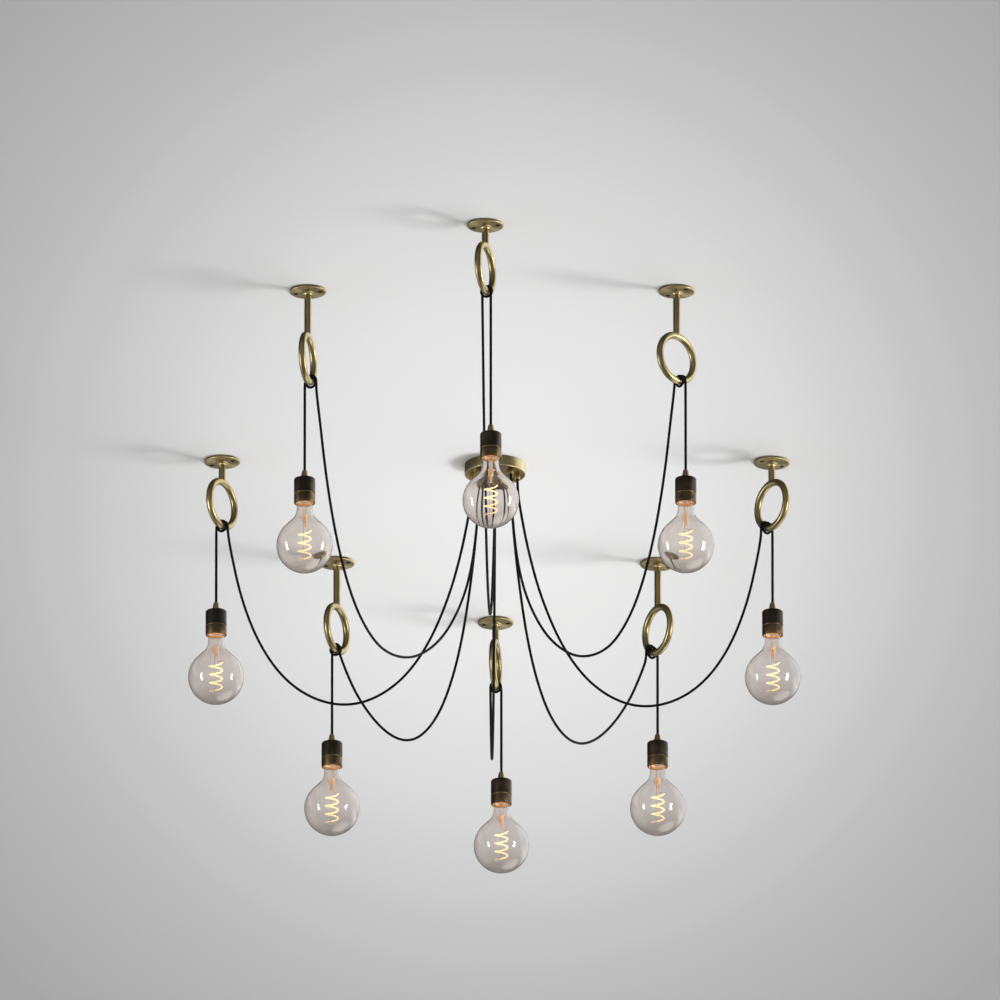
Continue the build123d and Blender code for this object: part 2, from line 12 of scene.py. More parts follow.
import bmesh
import bpy
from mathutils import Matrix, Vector


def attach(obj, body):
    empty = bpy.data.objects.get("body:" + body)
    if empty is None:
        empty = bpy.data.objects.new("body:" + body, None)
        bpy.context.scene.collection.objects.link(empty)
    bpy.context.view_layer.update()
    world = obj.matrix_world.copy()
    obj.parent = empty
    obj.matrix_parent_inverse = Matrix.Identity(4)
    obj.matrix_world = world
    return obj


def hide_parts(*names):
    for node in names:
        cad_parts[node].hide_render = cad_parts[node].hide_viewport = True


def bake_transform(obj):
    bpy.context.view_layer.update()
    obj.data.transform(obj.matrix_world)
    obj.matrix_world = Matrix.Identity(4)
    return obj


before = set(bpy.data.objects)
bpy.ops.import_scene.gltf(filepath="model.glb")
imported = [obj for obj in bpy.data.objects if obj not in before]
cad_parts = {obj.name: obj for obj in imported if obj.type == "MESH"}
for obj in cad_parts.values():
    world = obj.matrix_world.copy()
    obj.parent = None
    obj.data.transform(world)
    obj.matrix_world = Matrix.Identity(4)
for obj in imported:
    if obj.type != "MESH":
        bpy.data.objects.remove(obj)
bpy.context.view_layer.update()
scene = bpy.context.scene
scene.view_settings.view_transform = "Standard"
MM = 0.001

# %% [markdown]
# ## The camera
# The picture shows every bulb the same size, near or far, so it has hardly any perspective. A very long
# lens far away gives that, and it still is an ordinary camera. It looks up at the ceiling from twenty
# degrees below.

# %% Camera
look_up = math.radians(20)
picture_width = 1.709
lens_mm = 1500
aim = Vector((0.0085, 0.0205, -0.0562))
camera_data = bpy.data.cameras.new("camera")
camera_data.lens = lens_mm
camera_data.clip_end = 200
camera = bpy.data.objects.new("camera", camera_data)
scene.collection.objects.link(camera)
sight = Vector((0, math.cos(look_up), math.sin(look_up)))
camera.location = aim - sight * (picture_width * lens_mm / camera_data.sensor_width)
camera.rotation_euler = sight.to_track_quat("-Z", "Y").to_euler()
scene.camera = camera
print("camera stands", round((camera.location - aim).length, 1), "m away")

# %% [markdown]
# ## The arms
# Each arm has a hook somewhere on the ceiling, a ring turned its own way, a round turn of cord on that
# ring, and a lamp below it. The swags share five hanging lines. Each line is a list of places: how far
# along the way from the canopy to the ring, in percent, and how far below the ceiling, in millimetres.

# %% Hanging lines and arms
front_line = [
    (0, 43), (1.1, 80), (3.5, 122), (6.7, 167), (10.4, 210), (14.3, 254), (18.3, 297), (22.5, 338),
    (26.9, 375), (31.5, 407), (36.3, 433), (41.3, 453), (46.4, 465), (51.6, 470), (56.7, 468),
    (61.8, 459), (66.8, 443), (71.6, 420), (76.2, 391), (80.5, 357), (84.6, 319), (88.4, 279),
    (91.9, 236), (95, 192), (97.9, 155), (100, 129),
]
front_corner_line = [
    (0, 43), (0.7, 88), (2, 142), (4.2, 198), (7.4, 250), (11.4, 296), (16, 338), (21.3, 379), (27.3, 416),
    (33.8, 449), (40.5, 477), (47.5, 498), (54.8, 513), (62, 519), (69, 511), (75.3, 492), (80.6, 463),
    (85.2, 425), (89, 383), (92.3, 335), (95.1, 283), (97.3, 230), (99.1, 191), (100, 169),
]
side_line = [
    (0, 43), (1.3, 82), (3.2, 128), (5.6, 175), (8.6, 223), (12.4, 270), (17, 316), (22.6, 358), (29.4, 394),
    (37.5, 421), (46.2, 437), (55, 440), (63.8, 431), (71.8, 412), (78.6, 385), (84.3, 351), (88.9, 313),
    (92.6, 272), (95.6, 228), (97.8, 184), (99.3, 150), (100, 128),
]
back_corner_line = [
    (0, 43), (1.3, 86), (3.2, 136), (5.6, 186), (8.4, 233), (11.8, 280), (16, 323), (21.1, 360), (27.4, 391),
    (35, 410), (43.4, 416), (51.8, 408), (60, 389), (68, 362), (75.5, 330), (82.4, 295), (88.6, 259),
    (93.6, 223), (97.4, 193), (100, 170),
]
back_line = [
    (0, 43), (1.4, 80), (4, 117), (7.5, 154), (11.8, 194), (16.8, 234), (22.4, 271), (28.7, 304), (35.6, 331),
    (43, 349), (50.6, 358), (58.2, 357), (65.6, 345), (72.7, 322), (79.2, 292), (85.1, 256), (90.3, 217),
    (94.7, 178), (98.1, 148), (100, 127),
]
short_ring_depth = 78.5
long_ring_depth = 122
Arm = namedtuple(
    "Arm", "hook_x hook_y ring_depth ring_turn wrap_place wrap_lay swag_side grip_angle holder_depth line"
)
arms = [
    Arm(-16, -1180, short_ring_depth, 72, 6.5, 1, 1, 270, 374, front_line),
    Arm(-316, -859, long_ring_depth, 76, 19, 1, -1, 225, 332, front_corner_line),
    Arm(307, -860, long_ring_depth, 45, 7.5, -1, 1, 315, 337, front_corner_line),
    Arm(-466, -20, short_ring_depth, 58, 0, 1, -1, 180, 272, side_line),
    Arm(473, -15, short_ring_depth, -53, -15, -1, -1, 0, 266, side_line),
    Arm(-272, 488, long_ring_depth, 65, -4.5, -1, -1, 135, 328, back_corner_line),
    Arm(280, 493, long_ring_depth, -58, -20, -1, -1, 45, 321, back_corner_line),
    Arm(1, 791, short_ring_depth, 82, 3, -1, 1, 90, 288, back_line),
]
print(len(arms), "arms")

# %% [markdown]
# ## Finishes
# A finish is a small network of nodes. Each one below starts from a helper that makes the material and
# hands back its shader, so that the lines after it only say what is special: how the colour drifts, how the
# roughness breaks up, and which fine marks the tool left.


# %% Helpers for finishes
def new_finish(name):
    """A new material, its nodes, its links and its shader."""
    material = bpy.data.materials.new(name)
    material.use_nodes = True
    nodes, links = material.node_tree.nodes, material.node_tree.links
    return material, nodes, links, nodes["Principled BSDF"]


def own_noise(nodes, links, scale, detail):
    """Noise on the piece's own coordinates."""
    place = nodes.new("ShaderNodeTexCoord")
    noise = nodes.new("ShaderNodeTexNoise")
    noise.inputs["Scale"].default_value = scale
    noise.inputs["Detail"].default_value = detail
    links.new(place.outputs["Object"], noise.inputs["Vector"])
    return noise.outputs["Fac"]


def drift(nodes, links, scale, stops):
    """Noise run through a ramp of two (position, colour) stops."""
    ramp = nodes.new("ShaderNodeValToRGB")
    for stop, (position, colour) in zip(ramp.color_ramp.elements, stops):
        stop.position = position
        stop.color = (*colour, 1)
    links.new(own_noise(nodes, links, scale, 4), ramp.inputs["Fac"])
    return ramp.outputs["Color"]


def spread(nodes, links, scale, low, high):
    """Noise as a number from low to high. Most of the noise itself lies between 0.3 and 0.7."""
    span = nodes.new("ShaderNodeMapRange")
    span.inputs["From Min"].default_value = 0.3
    span.inputs["From Max"].default_value = 0.7
    span.inputs["To Min"].default_value = low
    span.inputs["To Max"].default_value = high
    links.new(own_noise(nodes, links, scale, 3), span.inputs["Value"])
    return span.outputs["Result"]


def raise_marks(nodes, links, shader, height, depth):
    """Bump on a shader from a height, with a depth in metres."""
    bump = nodes.new("ShaderNodeBump")
    bump.inputs["Distance"].default_value = depth
    links.new(height, bump.inputs["Height"])
    links.new(bump.outputs["Normal"], shader.inputs["Normal"])


def fill_greys(ramp, greys):
    """Give a ramp a list of (position, grey) stops."""
    stops = ramp.color_ramp.elements
    while len(stops) < len(greys):
        stops.new(0.5)
    for stop, (position, grey) in zip(stops, greys):
        stop.position = position
        stop.color = (grey, grey, grey, 1)


print("finish helpers ready")

# %% [markdown]
# ### Antique brass
# The plates, rods and rings are satin brass, darkened and rubbed back. Fine marks run round each turned
# piece, so the light spreads across them and a plate shows two bright wedges. Anisotropy does this, and it
# follows the direction of the piece's own turning map, which the lathe below lays on every turned piece.

# %% Brass
marks_round = 3
marks_per_metre = 2600
mark_depth = 0.01 * MM


def brass_finish(name, light, dark, rough_low, rough_high, brushing):
    """Satin brass with marks that run along the first direction of the turning map."""
    material, nodes, links, shader = new_finish(name)
    shader.inputs["Metallic"].default_value = 1
    shader.inputs["Anisotropic"].default_value = brushing
    links.new(drift(nodes, links, 22, ((0.35, dark), (0.62, light))), shader.inputs["Base Color"])
    links.new(spread(nodes, links, 60, rough_low, rough_high), shader.inputs["Roughness"])
    along = nodes.new("ShaderNodeTangent")
    along.direction_type = "UV_MAP"
    along.uv_map = "turning"
    links.new(along.outputs["Tangent"], shader.inputs["Tangent"])
    map_place = nodes.new("ShaderNodeUVMap")
    map_place.uv_map = "turning"
    stretch = nodes.new("ShaderNodeMapping")
    stretch.inputs["Scale"].default_value = (marks_round, marks_per_metre, 1)
    links.new(map_place.outputs["UV"], stretch.inputs["Vector"])
    marks = nodes.new("ShaderNodeTexNoise")
    marks.inputs["Scale"].default_value = 1
    marks.inputs["Detail"].default_value = 2
    links.new(stretch.outputs["Vector"], marks.inputs["Vector"])
    raise_marks(nodes, links, shader, marks.outputs["Fac"], mark_depth)
    return material


hook_brass = brass_finish(
    "hook brass", light=(0.42, 0.342, 0.168), dark=(0.29, 0.228, 0.107),
    rough_low=0.28, rough_high=0.36, brushing=0.4)
plate_brass = brass_finish(
    "plate brass", light=(0.5, 0.41, 0.205), dark=(0.38, 0.3, 0.145),
    rough_low=0.27, rough_high=0.35, brushing=0.9)
canopy_brass = brass_finish(
    "canopy brass", light=(0.55, 0.46, 0.245), dark=(0.43, 0.35, 0.18),
    rough_low=0.26, rough_high=0.36, brushing=0.5)
# Darker brass for the fittings; it also paints shade on the bottom of the canopy's recess.
fitting_brass_and_recess_shade = brass_finish(
    "fitting brass and recess shade", light=(0.4, 0.31, 0.15), dark=(0.25, 0.185, 0.085),
    rough_low=0.28, rough_high=0.42, brushing=0.3)
print("brass:", hook_brass.name, plate_brass.name, canopy_brass.name, fitting_brass_and_recess_shade.name)

# %% [markdown]
# ### Dark bronze, plated steel, porcelain and lead sleeve
# The lampholders are nearly black, with brown where the colour has rubbed thin. The other three finishes
# are inside the canopy and the sockets, where only a close look from below reaches them. They differ only
# in their numbers, so one helper makes them all, and the barrels get a fine grain on top.

# %% Bronze and the hidden finishes
grain_scale = 900
grain_depth = 0.03 * MM


def worn_finish(name, metal, colour_scale, stops, rough_scale, rough_low, rough_high):
    """A finish whose colour drifts and whose roughness breaks up."""
    material, nodes, links, shader = new_finish(name)
    shader.inputs["Metallic"].default_value = metal
    links.new(drift(nodes, links, colour_scale, stops), shader.inputs["Base Color"])
    links.new(spread(nodes, links, rough_scale, rough_low, rough_high), shader.inputs["Roughness"])
    return material


# Nearly black bronze for the barrels; it also paints shade on the walls of the plates' holes.
dark_bronze_and_hole_shade = worn_finish(
    "dark bronze", 0.75, 45, ((0.42, (0.026, 0.019, 0.013)), (0.7, (0.07, 0.05, 0.031))), 120, 0.36, 0.52)
nodes, links = dark_bronze_and_hole_shade.node_tree.nodes, dark_bronze_and_hole_shade.node_tree.links
raise_marks(nodes, links, nodes["Principled BSDF"], spread(nodes, links, grain_scale, 0, 1), grain_depth)
# The collars are a lighter brown than the barrels.
collar_bronze = worn_finish(
    "collar bronze", 0.85, 45, ((0.38, (0.06, 0.042, 0.022)), (0.66, (0.17, 0.12, 0.06))), 120, 0.32, 0.46)
plated_steel = worn_finish(
    "plated steel", 1, 60, ((0.4, (0.42, 0.41, 0.39)), (0.65, (0.58, 0.57, 0.55))), 150, 0.25, 0.42)
porcelain = worn_finish(
    "porcelain", 0, 80, ((0.4, (0.76, 0.73, 0.66)), (0.7, (0.83, 0.81, 0.75))), 200, 0.35, 0.5)
lead_sleeve = worn_finish(
    "lead sleeve", 0, 90, ((0.4, (0.02, 0.02, 0.02)), (0.7, (0.04, 0.04, 0.04))), 120, 0.45, 0.6)
print("bronze and hidden finishes ready")

# %% [markdown]
# ### Braided cord
# The cord is covered with a black braid. Two sets of threads cross on the slant, and both come from the
# cord's own map: once round it in one direction, metres along it in the other. Where the two sine waves
# meet, the higher one shows. The low grooves between the threads are darker, as painted shade.

# %% Braid
braid, nodes, links, shader = new_finish("black braid")
shader.inputs["Roughness"].default_value = 0.8
shader.inputs["Specular IOR Level"].default_value = 0.15
shader.inputs["Sheen Weight"].default_value = 0.02
shader.inputs["Sheen Roughness"].default_value = 0.5
cord_map = nodes.new("ShaderNodeUVMap")
cord_map.uv_map = "UVMap"
split = nodes.new("ShaderNodeSeparateXYZ")
links.new(cord_map.outputs["UV"], split.inputs["Vector"])
threads_round = 8
threads_per_metre = 420
thread_height = 0.1 * MM


def slanted_threads(sign):
    """One set of braid threads: waves that climb round the cord one way."""
    climb = nodes.new("ShaderNodeMath")
    climb.operation = "MULTIPLY"
    climb.inputs[1].default_value = math.tau * threads_per_metre
    links.new(split.outputs["X"], climb.inputs[0])
    go_round = nodes.new("ShaderNodeMath")
    go_round.operation = "MULTIPLY_ADD"
    go_round.inputs[1].default_value = sign * math.tau * threads_round
    links.new(split.outputs["Y"], go_round.inputs[0])
    links.new(climb.outputs["Value"], go_round.inputs[2])
    wave = nodes.new("ShaderNodeMath")
    wave.operation = "SINE"
    links.new(go_round.outputs["Value"], wave.inputs[0])
    return wave.outputs["Value"]


crossing = nodes.new("ShaderNodeMath")
crossing.operation = "MAXIMUM"
links.new(slanted_threads(1), crossing.inputs[0])
links.new(slanted_threads(-1), crossing.inputs[1])
# Lower waves, between the threads, get the darker colour: painted shade.
painted_groove_shade = nodes.new("ShaderNodeValToRGB")
painted_groove_shade.color_ramp.elements[0].position = 0.2
painted_groove_shade.color_ramp.elements[0].color = (0.0015, 0.0015, 0.0015, 1)
painted_groove_shade.color_ramp.elements[1].color = (0.007, 0.0068, 0.0066, 1)
links.new(crossing.outputs["Value"], painted_groove_shade.inputs["Fac"])
links.new(painted_groove_shade.outputs["Color"], shader.inputs["Base Color"])
raise_marks(nodes, links, shader, crossing.outputs["Value"], thread_height)
print("braid ready")

# %% [markdown]
# ### Glass, stem and filament
# The globe is clear glass with a smoky tint, so the light that goes through both walls comes out a little
# darker and warmer. Its colour is darker towards the bottom of the globe, as painted shade, by a map that
# holds each place's height. The stem's press inside the neck glows amber, as painted light. The filament
# is what glows as the lamp.

# %% Glass
globe_radius = 47.5
bottom_shade_end = -8
glass_bend = 1.48
globe_glass, nodes, links, shader = new_finish("smoky glass")
height_map = nodes.new("ShaderNodeUVMap")
height_map.uv_map = "height"
height_split = nodes.new("ShaderNodeSeparateXYZ")
links.new(height_map.outputs["UV"], height_split.inputs["Vector"])
height_fade = nodes.new("ShaderNodeMapRange")
height_fade.inputs["From Min"].default_value = -globe_radius * MM
height_fade.inputs["From Max"].default_value = bottom_shade_end * MM
links.new(height_split.outputs["Y"], height_fade.inputs["Value"])
# The colour darkens towards the bottom of the globe: painted shade.
painted_bottom_shade = nodes.new("ShaderNodeValToRGB")
painted_bottom_shade.color_ramp.interpolation = "EASE"
painted_bottom_shade.color_ramp.elements[0].color = (0.7, 0.68, 0.65, 1)
painted_bottom_shade.color_ramp.elements[1].color = (1, 0.985, 0.98, 1)
links.new(height_fade.outputs["Result"], painted_bottom_shade.inputs["Fac"])
links.new(painted_bottom_shade.outputs["Color"], shader.inputs["Base Color"])
shader.inputs["Transmission Weight"].default_value = 1
shader.inputs["Roughness"].default_value = 0
shader.inputs["IOR"].default_value = glass_bend
smoke = nodes.new("ShaderNodeVolumeAbsorption")
smoke.inputs["Color"].default_value = (0.62, 0.5, 0.4, 1)
smoke.inputs["Density"].default_value = 235
links.new(smoke.outputs["Volume"], nodes["Material Output"].inputs["Volume"])

stem_glass, nodes, links, shader = new_finish("stem glass")
shader.inputs["Base Color"].default_value = (0.95, 0.9, 0.84, 1)
shader.inputs["Transmission Weight"].default_value = 0.9
shader.inputs["Roughness"].default_value = 0.08
shader.inputs["IOR"].default_value = glass_bend
print("glass ready")

# %% Painted glow
# The stem's press and the insides of cap and collar glow orange: painted light, though they are no lamp.
press_painted_glow, nodes, links, shader = new_finish("press painted glow")
links.new(drift(nodes, links, 120, ((0.4, (0.55, 0.36, 0.2)), (0.65, (0.72, 0.52, 0.34)))),
          shader.inputs["Base Color"])
shader.inputs["Roughness"].default_value = 0.3
shader.inputs["Emission Color"].default_value = (1, 0.5, 0.25, 1)
shader.inputs["Emission Strength"].default_value = 0.42

cap_painted_glow, nodes, links, shader = new_finish("cap painted glow")
links.new(drift(nodes, links, 90, ((0.4, (0.36, 0.2, 0.03)), (0.65, (0.48, 0.29, 0.05)))),
          shader.inputs["Base Color"])
shader.inputs["Metallic"].default_value = 1
shader.inputs["Roughness"].default_value = 0.4
shader.inputs["Emission Color"].default_value = (1, 0.32, 0.03, 1)
shader.inputs["Emission Strength"].default_value = 0.4

glowing_wire, nodes, links, shader = new_finish("glowing filament")
links.new(drift(nodes, links, 150, ((0.35, (1, 0.64, 0.29)), (0.6, (1, 0.8, 0.48)))),
          shader.inputs["Emission Color"])
shader.inputs["Base Color"].default_value = (0.9, 0.7, 0.35, 1)
shader.inputs["Emission Strength"].default_value = 1.15
print("glow ready")

# %% [markdown]
# ## Modelling helpers
# Most pieces here were turned on a lathe, so one helper spins a profile. The profile is a list of (radius,
# level) places. Spin copies it round, the two ends are merged, the faces are turned outwards, and a turning
# map is laid on the faces: its first direction runs round the piece and its second along the profile. In
# the picture only the canopy and the hooks throw a shadow on the ceiling, so the pieces that hang throw
# none.

# %% Lathe and friends
sharp_angle = math.radians(32)
same_place = 1e-7
on_axis = 1e-6


def add_piece(name, shape, finish, body, node):
    """Turn a finished bmesh into an object that rides on a body and stands for a solid."""
    mesh = bpy.data.meshes.new(name)
    shape.to_mesh(mesh)
    shape.free()
    for face in mesh.polygons:
        face.use_smooth = True
    mesh.set_sharp_from_angle(angle=sharp_angle)
    mesh.materials.append(finish)
    piece = bpy.data.objects.new(name, mesh)
    scene.collection.objects.link(piece)
    piece.visible_shadow = body == "chandelier"
    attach(piece, body)
    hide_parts(node)
    return piece


def near_angle(angle, other):
    """An angle, counted so that it lies within half a turn of another."""
    return (angle - other + math.pi) % math.tau - math.pi + other


def lay_turning_map(shape, spot):
    """Map each face corner by its angle about an upright line and its distance along the profile."""
    layer = shape.loops.layers.uv.new("turning")
    for face in shape.faces:
        middle = face.calc_center_median() - spot
        face_angle = math.atan2(middle.y, middle.x)
        for corner in face.loops:
            place = corner.vert.co - spot
            radius = math.hypot(place.x, place.y)
            angle = math.atan2(place.y, place.x) if radius > on_axis else face_angle
            corner[layer].uv = (near_angle(angle, face_angle) / math.tau, radius - place.z)


def spin_profile(spot, corners, steps=64, closed=True):
    """Spin (radius, level) corners in millimetres about an upright line."""
    shape = bmesh.new()
    dots = [shape.verts.new(spot + Vector((radius * MM, 0, level * MM))) for radius, level in corners]
    for one, other in zip(dots, dots[1:] + dots[:1] if closed else dots[1:]):
        shape.edges.new((one, other))
    bmesh.ops.spin(
        shape, geom=shape.verts[:] + shape.edges[:], cent=spot, axis=(0, 0, 1), angle=math.tau, steps=steps,
        use_merge=True, use_duplicate=False,
    )
    bmesh.ops.remove_doubles(shape, verts=shape.verts[:], dist=same_place)
    bmesh.ops.dissolve_degenerate(shape, edges=shape.edges[:], dist=same_place)
    bmesh.ops.recalc_face_normals(shape, faces=shape.faces[:])
    lay_turning_map(shape, spot)
    return shape


def lay_height_map(shape, spot):
    """Map each face corner by its height above a place, in metres."""
    layer = shape.loops.layers.uv.new("height")
    for face in shape.faces:
        for corner in face.loops:
            corner[layer].uv = (0, corner.vert.co.z - spot.z)


def arc_corners(middle_radius, middle_level, radius, start, end, count):
    """Corners on an arc of a profile, from one angle to another in degrees."""
    turns = [math.radians(start + (end - start) * step / count) for step in range(count + 1)]
    return [(middle_radius + radius * math.cos(t), middle_level + radius * math.sin(t)) for t in turns]


print("lathe ready")

# %% [markdown]
# ## The ceiling
# The ceiling isn't part of the object, but the hooks throw soft shadows on it. It is a pale plane that
# shows only from below, so that a view from above still sees the chandelier: its back faces are made
# transparent. Its paint holds a painted pool of light: lightest in the middle and greyer outwards. The
# slanting view shortens the plane, so the painted pool is stretched the other way.

# %% Ceiling
ceiling_half = 9
ceiling_gap = 0.6 * MM
ceiling_shape = bmesh.new()
bmesh.ops.create_grid(ceiling_shape, x_segments=1, y_segments=1, size=ceiling_half)
bmesh.ops.reverse_faces(ceiling_shape, faces=ceiling_shape.faces[:])
bmesh.ops.translate(ceiling_shape, verts=ceiling_shape.verts[:], vec=(0, 0, ceiling_gap))
ceiling_mesh = bpy.data.meshes.new("ceiling")
ceiling_shape.to_mesh(ceiling_mesh)
ceiling_shape.free()
ceiling = bpy.data.objects.new("ceiling", ceiling_mesh)
scene.collection.objects.link(ceiling)
ceiling.visible_glossy = False
plaster, nodes, links, shader = new_finish("plaster")
shader.inputs["Roughness"].default_value = 0.95
# A painted pool of light: the ceiling's colour is lightest in the middle and greyer outwards.
light_pool_middle = (0.0085, 0.22, 0)
light_pool_reach = 1.25
light_pool_greys = [(0, 0.935), (0.29, 0.83), (0.45, 0.715), (0.57, 0.613), (0.66, 0.545), (0.94, 0.415)]
light_pool_place = nodes.new("ShaderNodeTexCoord")
light_pool_map = nodes.new("ShaderNodeMapping")
light_pool_map.vector_type = "TEXTURE"
light_pool_map.inputs["Location"].default_value = light_pool_middle
light_pool_map.inputs["Scale"].default_value = (light_pool_reach, light_pool_reach / math.sin(look_up), 1)
links.new(light_pool_place.outputs["Object"], light_pool_map.inputs["Vector"])
light_pool_way = nodes.new("ShaderNodeVectorMath")
light_pool_way.operation = "LENGTH"
links.new(light_pool_map.outputs["Vector"], light_pool_way.inputs[0])
light_pool_ramp = nodes.new("ShaderNodeValToRGB")
light_pool_ramp.color_ramp.interpolation = "CARDINAL"
fill_greys(light_pool_ramp, light_pool_greys)
links.new(light_pool_way.outputs["Value"], light_pool_ramp.inputs["Fac"])
links.new(light_pool_ramp.outputs["Color"], shader.inputs["Base Color"])
side = nodes.new("ShaderNodeNewGeometry")
see_through = nodes.new("ShaderNodeBsdfTransparent")
one_sided = nodes.new("ShaderNodeMixShader")
links.new(side.outputs["Backfacing"], one_sided.inputs["Fac"])
links.new(shader.outputs["BSDF"], one_sided.inputs[1])
links.new(see_through.outputs["BSDF"], one_sided.inputs[2])
links.new(one_sided.outputs["Shader"], nodes["Material Output"].inputs["Surface"])
ceiling_mesh.materials.append(plaster)
print("ceiling ready")

# %% [markdown]
# ## The light
# The room is grey, brighter at eye level than at the floor, and has four soft bright patches, so that the
# brass has something dark and something bright to reflect. The ceiling hides everything above eye level
# except from reflections, which don't see the ceiling. A far, wide lamp on the right throws the shadows to
# the left: because it is wide, the shadow of a rod is dark close to the plate and soon fades. Two upright
# windows, left and right, are there for the two highlights on every globe. They show only in reflections,
# not on dull surfaces and not through the glass.

# %% Room
room = bpy.data.worlds.new("room")
room.use_nodes = True
nodes, links = room.node_tree.nodes, room.node_tree.links
room_way = nodes.new("ShaderNodeTexCoord")
room_split = nodes.new("ShaderNodeSeparateXYZ")
links.new(room_way.outputs["Generated"], room_split.inputs["Vector"])
room_height = nodes.new("ShaderNodeMapRange")
room_height.inputs["From Min"].default_value = -1
links.new(room_split.outputs["Z"], room_height.inputs["Value"])
room_ramp = nodes.new("ShaderNodeValToRGB")
room_greys = [(0, 0.2), (0.43, 0.36), (0.57, 0.07), (1, 0.05)]
fill_greys(room_ramp, room_greys)
links.new(room_height.outputs["Result"], room_ramp.inputs["Fac"])


def soft_patch(direction, inner, outer, strength):
    """A brighter patch of the room: full inside one angle about a direction, and gone at another."""
    facing = nodes.new("ShaderNodeVectorMath")
    facing.operation = "DOT_PRODUCT"
    facing.inputs[1].default_value = Vector(direction).normalized()
    links.new(room_way.outputs["Generated"], facing.inputs[0])
    fade = nodes.new("ShaderNodeMapRange")
    fade.interpolation_type = "SMOOTHSTEP"
    fade.inputs["From Min"].default_value = math.cos(math.radians(outer))
    fade.inputs["From Max"].default_value = math.cos(math.radians(inner))
    fade.inputs["To Max"].default_value = strength
    links.new(facing.outputs["Value"], fade.inputs["Value"])
    return fade.outputs["Result"]


room_sum = room_ramp.outputs["Color"]
for patch in (
    soft_patch((0.42, 0.45, -0.78), inner=12, outer=30, strength=2.2),
    soft_patch((-0.8, 0.3, -0.5), inner=10, outer=35, strength=0.4),
    soft_patch((0.8, 0.5, 0.34), inner=15, outer=48, strength=1.8),
    soft_patch((-0.2, -0.9, 0.4), inner=15, outer=60, strength=0.22),
):
    adder = nodes.new("ShaderNodeMath")
    adder.operation = "ADD"
    links.new(room_sum, adder.inputs[0])
    links.new(patch, adder.inputs[1])
    room_sum = adder.outputs["Value"]
links.new(room_sum, nodes["Background"].inputs["Strength"])
nodes["Background"].inputs["Color"].default_value = (1, 1, 1, 1)
scene.world = room
print("room ready")


# %% Lamps
def area_lamp(name, place, target, width, height, watts):
    """A rectangular lamp that shines from a place towards a target."""
    data = bpy.data.lights.new(name, "AREA")
    data.shape = "RECTANGLE"
    data.size = width
    data.size_y = height
    data.energy = watts
    lamp = bpy.data.objects.new(name, data)
    lamp.location = place
    lamp.rotation_euler = (Vector(target) - Vector(place)).to_track_quat("-Z", "Y").to_euler()
    scene.collection.objects.link(lamp)
    return lamp


shadow_lamp = area_lamp(
    "shadow lamp", (63.8, 18.2, -44.8), target=(0, 0, 0), width=24, height=24, watts=42500)
shadow_lamp.visible_glossy = False
shadow_lamp.visible_transmission = False
bulb_level = (0, 0, -0.3)
right_window = area_lamp("right window", (3.17, -1.39, -0.75), bulb_level, width=0.8, height=1.5, watts=66)
left_window = area_lamp("left window", (-3.17, -1.39, -0.75), bulb_level, width=0.6, height=1.5, watts=46)
for window in (right_window, left_window):
    window.visible_diffuse = False
    window.visible_transmission = False
print("lamps ready")

# %% [markdown]
# ## The canopy
# The canopy is a turned cup with its bottom set back inside a rim. Its profile follows the solid, with a
# small radius on the rim and a shallow step inside it, because a spun cup never has a knife edge. The cord
# grips below it are little turned bushes.

# %% Canopy cover and grips
level_enough = 0.9
rim_start = -15 * MM
cover = spin_profile(
    Vector((0, 0, 0)),
    [(0, -14), (12, -14), (24, -14), (36, -14), (44, -14), (49.6, -14), (49.6, -17.6), (50, -18), (51, -18),
     *arc_corners(51, -17, 1, -90, 0, 4)[1:], (52, -9), (52, 0), (50.4, 0), (50.4, -12.4), (0, -12.4)],
    steps=128, closed=False,
)
cup = add_piece("canopy_cup", cover, canopy_brass, "chandelier", "canopy_cover")
# The level faces of the recessed bottom take a darker brass as painted shade.
cup.data.materials.append(fitting_brass_and_recess_shade)
for face in cup.data.polygons:
    face.material_index = int(abs(face.normal.z) > level_enough and face.center.z > rim_start)
grip_profile = [
    (2.4, -26), (3.5, -26), *arc_corners(3.5, -24.5, 1.5, -90, 0, 4)[1:],
    (5, -20), (5, -14), (4, -14), (4, -8.4), (2.4, -8.4),
]
grip_circle = 38 * MM


def grip_spot(arm):
    """Place on the ceiling plane above an arm's cord grip."""
    turn = math.radians(arm.grip_angle)
    return Vector((grip_circle * math.cos(turn), grip_circle * math.sin(turn), 0))


for number, arm in enumerate(arms, start=1):
    bush = spin_profile(grip_spot(arm), grip_profile, steps=32)
    add_piece(f"cord_bush_{number}", bush, hook_brass, "chandelier", "cord_grips")
for node, finish in (
    ("canopy_bracket", plated_steel), ("canopy_screws", fitting_brass_and_recess_shade), ("grip_nuts", fitting_brass_and_recess_shade),
    ("terminal_block", porcelain), ("canopy_leads", lead_sleeve),
):
    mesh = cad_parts[node].data
    mesh.materials.clear()
    mesh.materials.append(finish)
print("canopy done")

# %% [markdown]
# ## The hooks
# A hook is a round plate with a flared boss, a short rod and a closed ring. The plate is turned and then
# drilled: two countersunk holes, cut with a Boolean because a drill doesn't follow the lathe's faces. The
# ring is a circle spun about the ring's own axis, and its turning map runs along the bar, the way such a
# bar is polished.

# %% Plates
plate_profile = [
    (0, -9), (6.5, -9), *arc_corners(11.4, -8.9, 4.9, 180, 90, 6),
    (15, -4), (19, -4), (23, -4), (27, -4), (29.3, -4),
    *arc_corners(29.3, -2.8, 1.2, -90, 0, 3)[1:], (30.5, 0), (0, 0),
]
hole_from_middle = 21 * MM
sink_radius = 4.2
drill_profile = [(0, -4.5), (sink_radius, -4.5), (sink_radius, -4), (2.2, -1.7), (2.2, 0.5), (0, 0.5)]


